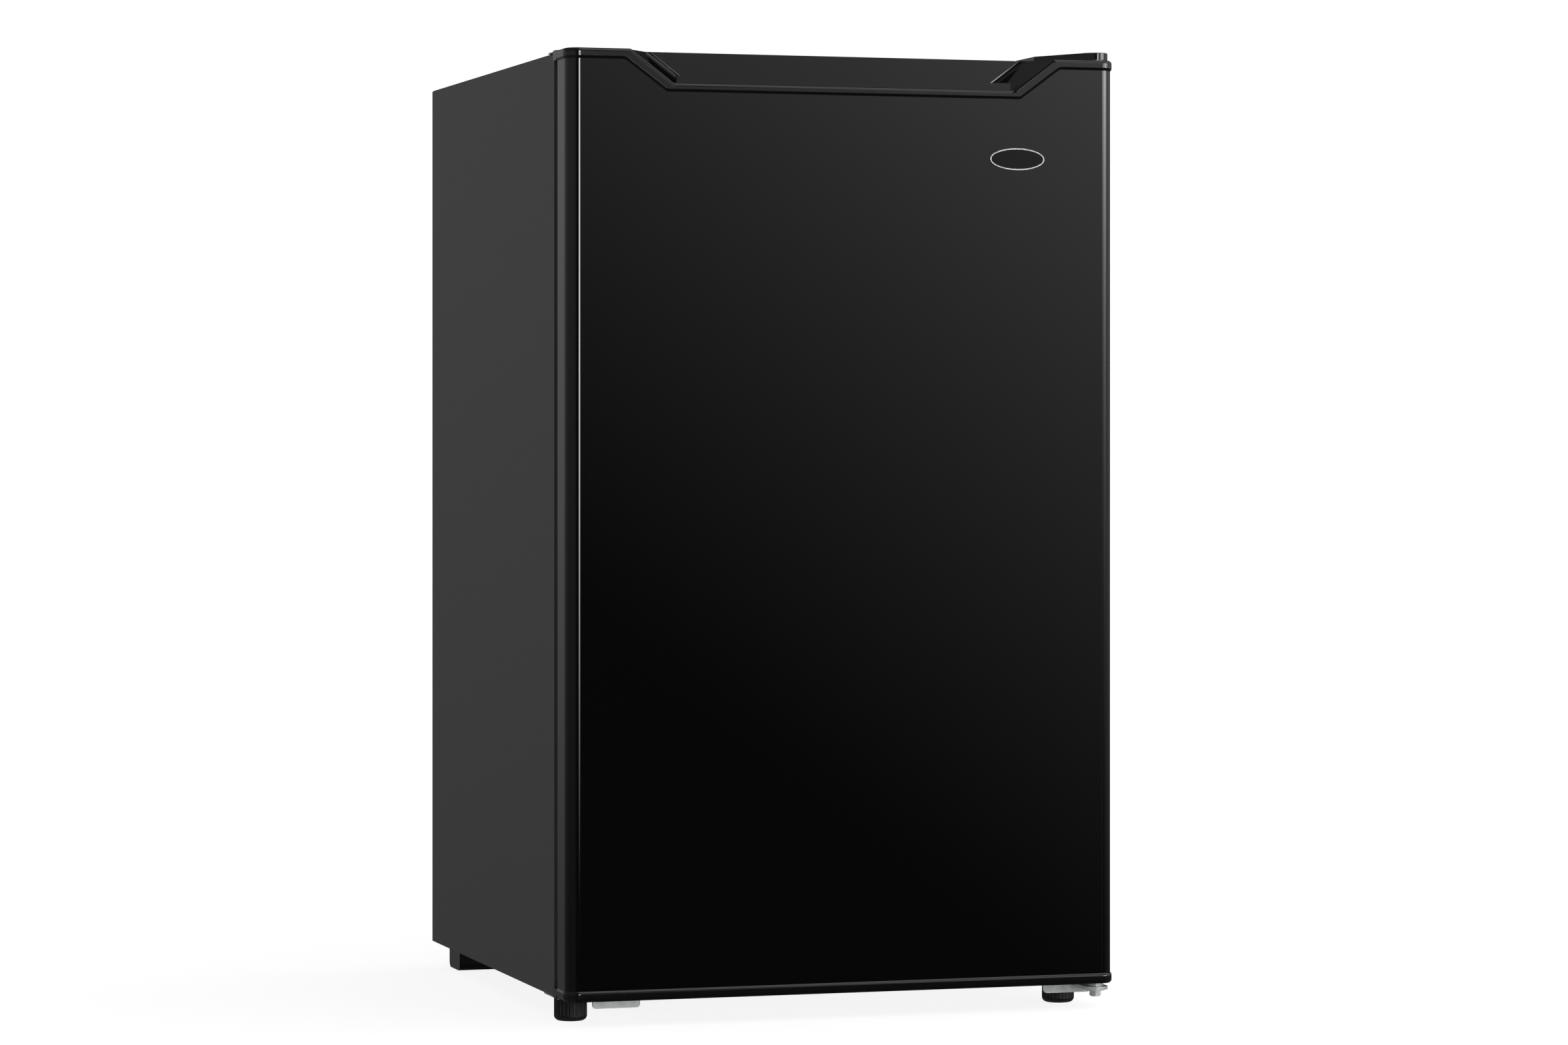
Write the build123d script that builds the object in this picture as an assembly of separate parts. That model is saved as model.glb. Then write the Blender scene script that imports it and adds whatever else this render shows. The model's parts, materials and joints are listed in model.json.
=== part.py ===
"""Undercounter compact refrigerator: steel cabinet, right-hinged door with a finger pocket in its top.

Millimetres, +Z up. Everything is drawn with Y = 0 on the face of the door and +Y towards the back;
export() then moves it so that the origin lies on the floor under the middle of the whole machine.
"""
import os
from math import cos, pi, sin

from build123d import *

# ---------------------------------------------------------------- driving dimensions
WIDTH = 494.0                 # cabinet and door skin
HALF = WIDTH / 2
CAB_FRONT = 45.2              # front plane of the cabinet
CAB_BACK = 510.0
CAB_BOTTOM = 22.5
CAB_TOP = 829.2
SHEET = 1.0                   # steel sheet

DOOR_DEPTH = 34.0
DOOR_BOTTOM = 22.0
DOOR_TOP = 830.9
DOOR_RADIUS = 11.0            # upright front corners of the skin
CAP_PROUD = 1.3               # end caps stand this far outside the skin
BAND = 9.7                    # height of the end caps' visible band
BAND_ROUND = 3.0              # rounding along the band's front edges
BAND_TURN = 6.0               # rounding where the band turns along its slopes

NOTCH_TOP = 190.9             # half width of the finger pocket at the top of the door
NOTCH_FLOOR = 153.3           # half width where its slopes end
NOTCH_Z = 802.7               # top of the rim in front of the fingers
BAND_TOP = 196.7              # the same three for the band's lower edge
BAND_FLOOR = 160.2
BAND_Z = 794.4
RIM = 4.0                     # depth of the rim behind the door face
LIP_Z = 808.8                 # top of the pocket's set-back lip, above the rim
LIP_HALF = 151.0
LIP_FRONT = 0.9
POCKET_BACK = 24.0
POCKET_FLOOR = 786.0
POCKET_TAPER = 18.0           # the pocket's ends lean in by this much from front to back
POCKET_ROUND = 5.0
TRAY_FLOOR = 778.0

HINGE_X = 236.0
HINGE_Y = 17.0
PIN_R = 4.0
BUSH_R = 6.5                  # plastic bearings in the door's end caps
RUNNING = 0.1                 # radial clearance round hinge pins
WASHER_T = 0.8
PLATE_T = 2.4                 # upper hinge plate
PLATE_Z = DOOR_TOP + 1.1      # its underside
BOSS_R = 10.8                 # round end of the hinge cover
COVER_TOP = 838.0
COVER_LEFT = 188.0
COVER_WALL = 1.8

INNER_X = 209.0               # half width of the food compartment
INNER_BOTTOM = 60.0
INNER_TOP = 790.0
INNER_BACK = 468.0
HUMP_FRONT = 325.0            # step in the liner over the compressor
HUMP_TOP = 268.0
LINER = 1.6
OPENING_EDGE = 6.0            # the steel front flange starts this far outside the liner's mouth
NICHE_FRONT = 352.0
NICHE_TOP = 230.0

GASKET_OUT = 238.0
GASKET_W = 19.0
GASKET_BACK = 44.6
GASKET_LOW = 30.0
GASKET_HIGH = 819.0

DYKE_OUT = 198.0              # raised rim of the inner door
DYKE_IN = 176.0
DYKE_BACK = 78.0
DYKE_LOW = 72.0
DYKE_HIGH = 778.0
DYKE_SILL = 22.0              # height of the rim's bottom bar
DYKE_WALL = 2.0

SHELF_Z = (450.0, 284.0)      # undersides of the two wire shelves
SPARE_LEDGE_Z = (540.0, 368.0)
SHELF_FRONT = 134.0
SHELF_BACK = 452.0

EVAP = (-200.0, 22.0, 152.0, 452.0, 642.0, 776.0)     # x0, x1, y0, y1, z0, z1 of the freezer box
EVAP_T = 1.5
FLAP_AXIS = (17.0, 134.0)
TRAY = (-196.0, 18.0, 148.0, 446.0, 602.0, 630.0)     # drip tray under the freezer box

KNOB_X = 128.0
KNOB_Z = 758.0

FOOT_X = {-1: -228.3, 1: 218.0}    # left and right levelling foot
FOOT_Y = 62.0
FOOT_R = 14.25
FOOT_TOP = 19.0
FOOT_TRAVEL = 12.0

COMP_X = -30.0
COMP_Y = 432.0
COMP_BASE = 38.0
COMP_TOP = 196.0

DRIER = (140.0, 470.0, 66.0)  # foot of the filter drier
DRIER_LENGTH = 110.0

CONDENSER_Y = 522.0
CONDENSER_R = 2.5
WIRE_R = 0.8
BACK = CONDENSER_Y + CONDENSER_R + 2 * WIRE_R

BADGE = (156.7, 742.7)        # centre of the oval plate, across and up


# ---------------------------------------------------------------- helpers
def slab(x0, x1, y0, y1, z0, z1):
    """A box between two corners."""
    return Pos((x0 + x1) / 2, (y0 + y1) / 2, (z0 + z1) / 2) * Box(x1 - x0, y1 - y0, z1 - z0)


def rod(x, y, z0, z1, r):
    """An upright cylinder."""
    return Pos(x, y, (z0 + z1) / 2) * Cylinder(r, z1 - z0)


def rod_x(x0, x1, y, z, r):
    """A cylinder along X."""
    return Pos((x0 + x1) / 2, y, z) * Rot(0, 90, 0) * Cylinder(r, x1 - x0)


def rod_y(x, y0, y1, z, r):
    """A cylinder along Y."""
    return Pos(x, (y0 + y1) / 2, z) * Rot(90, 0, 0) * Cylinder(r, y1 - y0)


def front_prism(points, y0, y1):
    """An outline in X and Z, carried from y0 back to y1."""
    face = Polygon(*points, align=None)
    return Pos(0, y1, 0) * Rot(90, 0, 0) * extrude(face, y1 - y0)


def side_prism(points, x0, x1):
    """An outline in Y and Z, carried from x0 to x1."""
    face = Plane.YZ.offset(x0) * Polygon(*points, align=None)
    return extrude(face, x1 - x0)


def mirrored(points):
    """The outline with its mirror image, given the right half from bottom to top."""
    return list(points) + [(-x, z) for x, z in reversed(points)]


def upright_edges(solid, y_below):
    """The vertical edges that lie in front of y_below."""
    return [e for e in solid.edges().filter_by(Axis.Z) if e.center().Y < y_below]


def tube(points, radii, r):
    """A bent tube along straight runs joined by arcs."""
    route = FilletPolyline(*points, radius=radii)
    start = Plane(origin=route @ 0, z_dir=route % 0)
    return sweep(start * Circle(r), path=route)


def tray(x0, x1, y0, y1, z0, z1, wall, corner):
    """An open-topped moulded tray with rounded corners."""
    outer = slab(x0, x1, y0, y1, z0, z1)
    outer = fillet(outer.edges().filter_by(Axis.Z), corner)
    outer = fillet(outer.faces().sort_by(Axis.Z)[0].edges(), corner / 3)
    inner = slab(x0 + wall, x1 - wall, y0 + wall, y1 - wall, z0 + wall, z1 + 1)
    inner = fillet(inner.edges().filter_by(Axis.Z), corner - wall)
    return outer - inner


# ---------------------------------------------------------------- cabinet
def outer_cabinet():
    """Sides and top in one folded steel sheet, with returns at the front, the back and along the floor."""
    shell = slab(-HALF, HALF, CAB_FRONT, CAB_BACK, CAB_BOTTOM, CAB_TOP)
    long_edges = [e for e in shell.edges().filter_by(Axis.Y) if e.center().Z > CAB_TOP - 1]
    shell = fillet(long_edges, 2.0)
    t = SHEET
    shell -= slab(-HALF + t, HALF - t, CAB_FRONT + t, CAB_BACK - t, CAB_BOTTOM + t, CAB_TOP - t)
    mouth_x = INNER_X + OPENING_EDGE
    mouth_low = INNER_BOTTOM - OPENING_EDGE
    shell -= slab(-mouth_x, mouth_x, CAB_FRONT - 1, CAB_FRONT + 5, mouth_low, INNER_TOP + OPENING_EDGE)
    shell -= slab(-HALF + 12, HALF - 12, CAB_BACK - 5, CAB_BACK + 1, CAB_BOTTOM - 1, CAB_TOP - 12)
    shell -= slab(-HALF + 10, HALF - 10, CAB_FRONT + 12, CAB_BACK + 1, CAB_BOTTOM - 1, CAB_BOTTOM + 5)
    return shell


def cabinet_top_trim():
    """Plastic strip over the front edge of the cabinet's top."""
    strip = slab(-HALF, HALF, CAB_FRONT, CAB_FRONT + 20, CAB_TOP, CAB_TOP + 1.2)
    return chamfer(strip.edges().filter_by(Axis.X).sort_by(Axis.Z)[-2:], 0.6)


def rear_panel():
    """Flat steel back above the compressor niche."""
    return slab(-HALF + 1.5, HALF - 1.5, CAB_BACK - 2, CAB_BACK - 1, NICHE_TOP - 12, CAB_TOP - 2)


def base_pan():
    """Steel floor that steps up to form the compressor niche."""
    z = CAB_BOTTOM + SHEET
    outline = [
        (CAB_FRONT + 14, z),
        (NICHE_FRONT, z),
        (NICHE_FRONT, NICHE_TOP),
        (CAB_BACK - 2.2, NICHE_TOP),
        (CAB_BACK - 2.2, NICHE_TOP + SHEET),
        (NICHE_FRONT - SHEET, NICHE_TOP + SHEET),
        (NICHE_FRONT - SHEET, z + SHEET),
        (CAB_FRONT + 14, z + SHEET),
    ]
    return side_prism(outline, -HALF + 1.5, HALF - 1.5)


def liner_cavity(grow):
    """The food compartment as a solid, grown by the given amount on its closed sides."""
    g = grow
    outline = [
        (CAB_FRONT - 2, INNER_BOTTOM - g),
        (HUMP_FRONT + g, INNER_BOTTOM - g),
        (HUMP_FRONT + g, HUMP_TOP - g),
        (INNER_BACK + g, HUMP_TOP - g),
        (INNER_BACK + g, INNER_TOP + g),
        (CAB_FRONT - 2, INNER_TOP + g),
    ]
    solid = side_prism(outline, -INNER_X - g, INNER_X + g)
    return fillet(solid.edges().filter_by(Axis.Y), 12 + g)


def ledge(side, z):
    """One moulded shelf ledge on a side wall."""
    tip = INNER_X - 8
    x0, x1 = sorted((side * tip, side * (INNER_X + 0.5)))
    bar = slab(x0, x1, SHELF_FRONT - 8, SHELF_BACK - 2, z - 9, z)
    nose = [e for e in upright_edges(bar, 200) if abs(e.center().X) < INNER_X - 4]
    return fillet(nose, 5)


def inner_liner():
    """White vacuum-formed food compartment with a flange, a compressor step and shelf ledges."""
    y0 = CAB_FRONT + SHEET
    edge = 20.0
    flange = slab(-INNER_X - edge, INNER_X + edge, y0, y0 + LINER, INNER_BOTTOM - edge, INNER_TOP + edge)
    shell = (liner_cavity(LINER) + flange) - liner_cavity(0)
    shell -= slab(-HALF, HALF, CAB_FRONT - 10, y0, 0, CAB_TOP)
    ledges = [ledge(side, z) for side in (-1, 1) for z in SHELF_Z + SPARE_LEDGE_Z]
    return shell + ledges


def foam_insulation(cutters):
    """Foam that fills the walls between the steel and the liner."""
    y0 = CAB_FRONT + SHEET + LINER + 0.2
    block = slab(-HALF + 1.5, HALF - 1.5, y0, CAB_BACK - 2.2, CAB_BOTTOM + 2.2, CAB_TOP - 1.2)
    block -= liner_cavity(LINER)
    block -= slab(-HALF, HALF, NICHE_FRONT - 1.2, CAB_BACK + 1, 0, NICHE_TOP + 1.2)
    block -= slab(-HALF, HALF, 0, CAB_FRONT + 15, 0, CAB_BOTTOM + 3)
    return block - cutters


def wire_shelf(z):
    """A welded wire shelf that rests on two ledges."""
    bar_x = INNER_X - 3
    bars = [rod_x(-bar_x, bar_x, y, z + 2.5, 2.5) for y in (SHELF_FRONT, 240, 346, SHELF_BACK - 8)]
    count = 19
    first = -INNER_X + 16
    pitch = -2 * first / (count - 1)
    wires = [rod_y(first + i * pitch, SHELF_FRONT - 4, SHELF_BACK, z + 5.8, 1.6) for i in range(count)]
    return bars[0] + bars[1:] + wires


def evaporator_box():
    """Folded aluminium evaporator that is the freezer compartment, open at the front."""
    x0, x1, y0, y1, z0, z1 = EVAP
    outer = fillet(slab(x0, x1, y0, y1, z0, z1).edges().filter_by(Axis.Y), 8)
    t = EVAP_T
    inner = slab(x0 + t, x1 - t, y0 - 1, y1 - t, z0 + t, z1 - t)
    return outer - fillet(inner.edges().filter_by(Axis.Y), 8 - t)


def evaporator_hangers():
    """Four plastic spacers that hold the freezer box up to the liner's roof."""
    x0, x1, y0, y1, _, z1 = EVAP
    return [rod(x, y, z1, INNER_TOP, 6) for x in (x0 + 30, x1 - 30) for y in (y0 + 40, y1 - 40)]


def freezer_frame():
    """Plastic surround of the freezer's mouth, with the two ears that carry the flap."""
    x0, x1, y0, _, z0, z1 = EVAP
    frame = slab(x0 - 3, x1 + 3, y0 - 12, y0, z0 - 3, z1 + 3)
    frame = fillet(frame.edges().filter_by(Axis.Y), 9)
    hole = slab(x0 + 8, x1 - 8, y0 - 13, y0 + 1, z0 + 8, z1 - 8)
    frame -= fillet(hole.edges().filter_by(Axis.Y), 6)
    ax, ay = FLAP_AXIS
    for base, top in ((z0 - 3, z0 + 3), (z1 - 3, z1 + 3)):
        ear = slab(ax - 6, ax + 6, ay, y0 - 12, base, top) + rod(ax, ay, base, top, 6)
        frame += ear - rod(ax, ay, base - 1, top + 1, 2.0 + RUNNING)
    return frame


def freezer_flap():
    """Hinged plastic door of the freezer, with a pull lip and two pins."""
    x0, x1, y0, _, z0, z1 = EVAP
    ax, ay = FLAP_AXIS
    left = x0 - 1
    plate = slab(left, ax + 2, ay - 2.5, ay + 2.5, z0 + 4, z1 - 4)
    plate = fillet(plate.edges().filter_by(Axis.Y), 4)
    plate -= slab(left + 10, ax - 9, ay - 0.5, ay + 3, z0 + 14, z1 - 14)
    lip = slab(left, left + 12, ay - 9, ay - 2.5, 690, 728)
    plate += fillet([e for e in lip.edges().filter_by(Axis.X)], 3)
    plate += rod(ax, ay, z0 - 1.5, z1 + 1.5, 2.0)
    return plate


def drip_tray():
    """Shallow tray that slides in its rails under the freezer box."""
    x0, x1, y0, y1, z0, z1 = TRAY
    pan = tray(x0 + 6, x1 - 6, y0, y1, z0, z1 - 2, 2, 10)
    rim = slab(x0, x1, y0, y1, z1 - 2, z1)
    rim -= slab(x0 + 9, x1 - 9, y0 + 4, y1 - 4, z1 - 3, z1 + 1)
    lip = slab(x0 + 60, x1 - 60, y0 - 10, y0 + 0.5, z1 - 10, z1 - 2)
    lip -= slab(x0 + 62, x1 - 62, y0 - 8, y0 - 1.5, z1 - 11, z1 - 4)
    return pan + rim + lip


def drip_tray_rails():
    """Two plastic channels under the freezer box that the tray's rims slide in."""
    x0, x1, y0, y1, _, z1 = TRAY
    roof = EVAP[4]
    rails = []
    for side, edge in ((-1, x0), (1, x1)):
        a, b = sorted((edge + side * 3.5, edge - side * 5))
        block = slab(a, b, y0 + 6, y1, z1 - 4.5, roof)
        c, d = sorted((edge + side * 0.5, edge - side * 6))
        rails.append(block - slab(c, d, y0, y1 + 1, z1 - 2.5, z1 + 0.6))
    return rails


def thermostat_housing():
    """Vented box on the liner's roof that holds the thermostat."""
    body = slab(62, 196, 150, 300, 728, INNER_TOP)
    body = fillet([e for e in body.edges().filter_by(Axis.Y) if e.center().Z < 740], 10)
    body -= slab(65, 193, 153, 297, 731, INNER_TOP - 0.01)
    body += slab(62, 196, 150, 300, INNER_TOP - 3, INNER_TOP)
    for i in range(6):
        y = 185 + 18 * i
        body -= slab(90, 168, y, y + 6, 726, 733)
    body += rod_y(KNOB_X, 150, 168, KNOB_Z, 9)
    return body - rod_y(KNOB_X, 140, 166, KNOB_Z, 3.0 + RUNNING)


def thermostat_knob():
    """Ribbed temperature dial with a pointer and its shaft."""
    dial = fillet(rod_y(KNOB_X, 136, 148, KNOB_Z, 17).edges().sort_by(Axis.Y)[:1], 2)
    grooves = []
    count = 24
    reach = 17.6
    for i in range(count):
        a = 2 * pi * i / count
        grooves.append(rod_y(KNOB_X + reach * cos(a), 135, 149, KNOB_Z + reach * sin(a), 1.4))
    dial -= grooves
    dial += slab(KNOB_X - 2, KNOB_X + 2, 134.5, 136.5, KNOB_Z - 2, KNOB_Z + 12)
    return dial + rod_y(KNOB_X, 147, 165, KNOB_Z, 3.0)


def thermostat_bulb():
    """Capillary that runs from the thermostat to the freezer box's wall."""
    bulb_x = EVAP[1] + 3.2
    points = [(62, 250, 760), (44, 250, 760), (44, 280, 742), (bulb_x, 300, 742), (bulb_x, 400, 742)]
    return tube(points, [6, 6, 6], 1.6)


# ---------------------------------------------------------------- machine compartment
def compressor_rail():
    """Steel cross plate that carries the compressor."""
    z = CAB_BOTTOM + SHEET
    plate = slab(-HALF + 2, HALF - 2, 374, 490, z, z + 2)
    for y in (374, 488):
        plate += slab(-HALF + 14, HALF - 14, y, y + 2, z, z + 14)
    return plate - [rod(x, y, z - 1, z + 3, 4) for x, y in compressor_studs()]


def compressor_studs():
    """The four fixing points of the compressor's feet."""
    return [(COMP_X + dx, COMP_Y + dy) for dx in (-85, 85) for dy in (-40, 40)]


def compressor():
    """Welded steel shell on a stamped foot plate, with its three pipe stubs."""
    a, b = 78.0, 60.0
    wall = 8.0
    low = COMP_BASE + 4
    shell = Pos(COMP_X, COMP_Y, low) * extrude(Ellipse(a, b), COMP_TOP - low)
    shell = fillet(shell.edges().sort_by(Axis.Z)[-1:], 34)
    shell = fillet(shell.edges().sort_by(Axis.Z)[:1], 14)
    void = Pos(COMP_X, COMP_Y, low + wall) * extrude(Ellipse(a - wall, b - wall), COMP_TOP - low - 36)
    void = fillet(void.edges().sort_by(Axis.Z)[-1:], 26)
    seam = Pos(COMP_X, COMP_Y, 108) * extrude(Ellipse(a + 4, b + 4), 5)
    foot = slab(COMP_X - 98, COMP_X + 98, COMP_Y - 52, COMP_Y + 52, COMP_BASE, COMP_BASE + 3)
    foot = fillet(foot.edges().filter_by(Axis.Z), 16)
    foot += slab(COMP_X - 50, COMP_X + 50, COMP_Y - 30, COMP_Y + 30, COMP_BASE, COMP_BASE + 8)
    foot -= [rod(x, y, COMP_BASE - 1, COMP_BASE + 4, 6) for x, y in compressor_studs()]
    return shell + [seam, foot] - void


def compressor_grommets():
    """Rubber mounts under and through the compressor's feet."""
    z = CAB_BOTTOM + SHEET + 2
    items = []
    for x, y in compressor_studs():
        mount = rod(x, y, z, COMP_BASE, 11)
        mount += rod(x, y, COMP_BASE, COMP_BASE + 3, 6)
        mount += rod(x, y, COMP_BASE + 3, COMP_BASE + 7, 9)
        items.append(mount - rod(x, y, z - 1, COMP_BASE + 8, 4))
    return items


def compressor_bolts():
    """Shouldered bolts through the grommets."""
    items = []
    for x, y in compressor_studs():
        head = Pos(x, y, COMP_BASE + 7) * extrude(RegularPolygon(6.5, 6), 5)
        items.append(head + rod(x, y, 19, COMP_BASE + 7, 4))
    return items


def relay_cover():
    """Plastic cover over the start relay on the side of the compressor."""
    x = COMP_X + 72
    body = slab(x, x + 44, COMP_Y - 28, COMP_Y + 28, 62, 104)
    return fillet(body.edges().filter_by(Axis.Y), 5)


def condenser_tube():
    """Serpentine of steel tube on the back, with both ends led down into the niche."""
    x_far = 196.0
    rise = 46.0
    rows = 12
    top = 772.0
    points = [(x_far + 14, CONDENSER_Y, 205)]
    points.append((x_far + 14, CONDENSER_Y, top))
    side = 1
    z = top
    for _ in range(rows - 1):
        points.append((-side * x_far, CONDENSER_Y, z))
        z -= rise
        points.append((-side * x_far, CONDENSER_Y, z))
        side = -side
    outlet_x = -side * (x_far - 30)
    points.append((outlet_x, CONDENSER_Y, z))
    points.append((outlet_x, CONDENSER_Y, 198))
    points.append((DRIER[0], DRIER[1], 198))
    points.append((DRIER[0], DRIER[1], DRIER[2] + DRIER_LENGTH))
    radii = [12.0] + [rise / 2 - 0.5] * (2 * (rows - 1)) + [12.0, 12.0, 10.0]
    return tube(points, radii, CONDENSER_R)


def condenser_wires():
    """Upright wires spot-welded on both faces of the serpentine."""
    items = []
    count = 42
    offset = CONDENSER_R + WIRE_R
    for i in range(count):
        x = -182 + 364 * i / (count - 1)
        for side in (-1, 1):
            items.append(rod(x, CONDENSER_Y + side * offset, 252, 786, WIRE_R))
    return items


def condenser_clips():
    """Four stand-offs that hold the condenser off the back."""
    items = []
    for x in (-150, 150):
        for z in (334, 702):
            leg = slab(x - 9, x + 9, CAB_BACK - 1, CONDENSER_Y - CONDENSER_R - 2 * WIRE_R, z + 10, z + 36)
            items.append(fillet(leg.edges().filter_by(Axis.Y), 4))
    return items


def filter_drier():
    """Copper filter drier that stands in the niche."""
    x, y, z = DRIER
    end = DRIER_LENGTH
    profile = [(0, 0), (2.2, 0), (2.2, 10), (9.5, 22), (9.5, end - 24), (2.8, end - 12), (2.8, end), (0, end)]
    face = Plane.XZ * Polygon(*profile, align=None)
    return Pos(x, y, z) * revolve(face, Axis.Z)


def discharge_tube():
    """Copper tube from the compressor to the condenser."""
    points = [
        (COMP_X + 40, COMP_Y + 30, 178),
        (COMP_X + 40, COMP_Y + 30, 208),
        (COMP_X + 40, 484, 208),
        (210, 484, 208),
        (210, 484, 180),
        (210, CONDENSER_Y, 180),
        (210, CONDENSER_Y, 205),
    ]
    return tube(points, [9, 9, 12, 12, 12], 2.4)


def suction_tube():
    """Copper return tube from the evaporator's outlet in the niche wall to the compressor."""
    x = COMP_X - 100
    points = [(x, NICHE_FRONT, 200), (x, COMP_Y, 200), (x, COMP_Y, 140), (x + 22, COMP_Y, 140)]
    return tube(points, [12, 10], 3.2)


def capillary_tube():
    """Thin tube from the drier through the niche wall to the evaporator."""
    x, y, z = DRIER
    points = [(x, y, z), (x, y, z - 22), (x, y - 70, z - 22), (x, y - 70, 150), (x, NICHE_FRONT, 150)]
    return tube(points, [14, 14, 14], 1.2)


def cord_gland():
    """Grommet for the supply lead in the right end of the compressor rail's rear flange."""
    z = CAB_BOTTOM + SHEET + 26
    plate = slab(186, 222, 486, 488, CAB_BOTTOM + SHEET + 2, z + 14)
    bush = rod_y(204, 480, 498, z, 9) + rod_y(204, 494, 498, z, 12)
    return (fillet(plate.edges().filter_by(Axis.Y)[-2:], 1) + bush) - rod_y(204, 478, 500, z, 4.2)


def rear_feet():
    """Two moulded blocks under the back of the cabinet."""
    items = []
    for side in (-1, 1):
        x0, x1 = sorted((side * 190, side * 235))
        block = slab(x0, x1, 448, 490, 0, CAB_BOTTOM)
        low = [e for e in block.edges().filter_by(Axis.X) if e.center().Z < 1]
        items.append(fillet(low, 6))
    return items


# ---------------------------------------------------------------- hinges and brackets
def top_bracket_screws():
    """Fixing points of the top hinge plate."""
    return [(200, 72), (232, 72)]


def top_hinge_bracket():
    """Cranked steel plate on the cabinet's top that reaches out over the door."""
    top = PLATE_Z + PLATE_T
    reach = slab(HINGE_X - 9, HINGE_X + 9, HINGE_Y, 68, PLATE_Z, top)
    reach += rod(HINGE_X, HINGE_Y, PLATE_Z, top, 9)
    seat = slab(190.5, 244, 65.6, 84, CAB_TOP, CAB_TOP + PLATE_T) + slab(227, 244, 65.6, 68, CAB_TOP, top)
    seat = fillet([e for e in seat.edges().filter_by(Axis.Z) if e.center().Y > 80], 4)
    plate = reach + seat
    plate -= rod(HINGE_X, HINGE_Y, 820, 840, PIN_R)
    return plate - [rod(x, y, 820, 840, 2.2) for x, y in top_bracket_screws()]


def top_hinge_pin():
    """Riveted pin that the door's top turns on."""
    top = PLATE_Z + PLATE_T
    return rod(HINGE_X, HINGE_Y, DOOR_TOP - 15.7, top, PIN_R) + rod(HINGE_X, HINGE_Y, top, top + 1.5, 6)


def hinge_washers():
    """Bright washers between each hinge plate and the door."""
    z = PLATE_Z - WASHER_T - 0.1
    upper = rod(HINGE_X, HINGE_Y, z, z + WASHER_T, 9) - rod(HINGE_X, HINGE_Y, z - 1, z + 2, PIN_R)
    lower = rod(HINGE_X, HINGE_Y, 18.4, 21.8, 7) - rod(HINGE_X, HINGE_Y, 18, 22, PIN_R)
    return [upper, lower]


def pan_screw(x, y, seat, tip):
    """A pan-head screw with its head on the seat."""
    head = fillet(rod(x, y, seat, seat + 2.4, 4).edges().sort_by(Axis.Z)[-1:], 1.4)
    screw = head + rod(x, y, tip, seat, 2.2)
    screw -= slab(x - 2.4, x + 2.4, y - 0.4, y + 0.4, seat + 1.4, seat + 3)
    return screw - slab(x - 0.4, x + 0.4, y - 2.4, y + 2.4, seat + 1.4, seat + 3)


def top_hinge_screws():
    """Two screws that hold the top hinge plate."""
    return [pan_screw(x, y, CAB_TOP + PLATE_T, CAB_TOP - 11) for x, y in top_bracket_screws()]


def cover_plan(shrink):
    """The hinge cover from above: a foot on the cabinet and a round boss over the pin."""
    boss = Pos(HINGE_X, HINGE_Y) * Circle(BOSS_R - shrink)
    foot = Pos((COVER_LEFT + HALF) / 2, 65) * Rectangle(HALF - COVER_LEFT - 2 * shrink, 46 - 2 * shrink)
    return make_hull(boss.edges() + foot.edges())


def above_cover(drop):
    """What lies over the cover's top, which falls gently to the left."""
    top = COVER_TOP - drop
    x = 226
    fall = 2.0
    return front_prism([(COVER_LEFT - 1, top - fall), (x, top), (x, 850), (COVER_LEFT - 1, 850)], 0, 100)


def top_hinge_cover():
    """Black plastic cover: a low wedge over the screws that ends in a round boss over the pin."""
    outer = extrude(Pos(0, 0, CAB_TOP) * cover_plan(0), COVER_TOP - CAB_TOP)
    outer -= above_cover(0)
    outer = fillet([e for e in outer.edges() if e.center().Z > COVER_TOP - 4], 0.8)
    outer -= slab(170, 260, 0, CAB_FRONT, 820, PLATE_Z - 0.1)
    outer -= slab(170, 260, CAB_FRONT - 1, 65.4, 820, CAB_TOP + 1.4)
    inside_top = COVER_TOP - COVER_WALL
    hollow = extrude(Pos(0, 0, 820) * cover_plan(COVER_WALL), inside_top - 820)
    return outer - (hollow - above_cover(COVER_WALL))


def bottom_hinge_bracket():
    """Zinc-plated bracket under the right front corner: seat, front skirt and the tongue for the pin."""
    front = CAB_FRONT
    plate = slab(196, 244, front, 92, 20, CAB_BOTTOM)
    skirt = slab(198, 243.4, front, front + 2, 9.8, 20)
    skirt = fillet([e for e in skirt.edges().filter_by(Axis.Y) if e.center().Z < 12], 4)
    tongue = slab(HINGE_X - 11, HINGE_X + 11, HINGE_Y, front + 2, 15.6, 18.4)
    tongue += rod(HINGE_X, HINGE_Y, 15.6, 18.4, 11)
    bracket = plate + skirt + tongue
    bracket -= rod(HINGE_X, HINGE_Y, 10, 20, PIN_R)
    bracket -= rod(FOOT_X[1], FOOT_Y, 15, 25, PIN_R + 0.3)
    return bracket - [rod(x, y, 15, 25, 2.2) for x, y in bracket_screw_points(1)]


def left_foot_bracket():
    """Zinc-plated plate under the left front corner that carries the other levelling foot."""
    plate = slab(-244, -170.5, 46.5, 92, 20, CAB_BOTTOM)
    skirt = slab(-212.6, -170.5, 46.5, 49, 10.6, 20)
    skirt = fillet([e for e in skirt.edges().filter_by(Axis.Y) if e.center().Z < 12], 3)
    bracket = plate + skirt
    bracket -= rod(FOOT_X[-1], FOOT_Y, 15, 25, PIN_R + 0.3)
    return bracket - [rod(x, y, 15, 25, 2.2) for x, y in bracket_screw_points(-1)]


def bracket_screw_points(side):
    """Fixing points of a front bracket, clear of the foot's turning pad."""
    inner = 201 if side > 0 else 180
    if side < 0:
        return [(-inner, 70), (-inner, 84)]
    return [(inner, 84), (232, 86)]


def bracket_screws():
    """Screws that hold the two front brackets, heads down."""
    items = []
    for side in (-1, 1):
        for x, y in bracket_screw_points(side):
            head = fillet(rod(x, y, 17.6, 20, 4).edges().sort_by(Axis.Z)[:1], 1.4)
            items.append(head + rod(x, y, 20, 34, 2.2))
    return items


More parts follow.
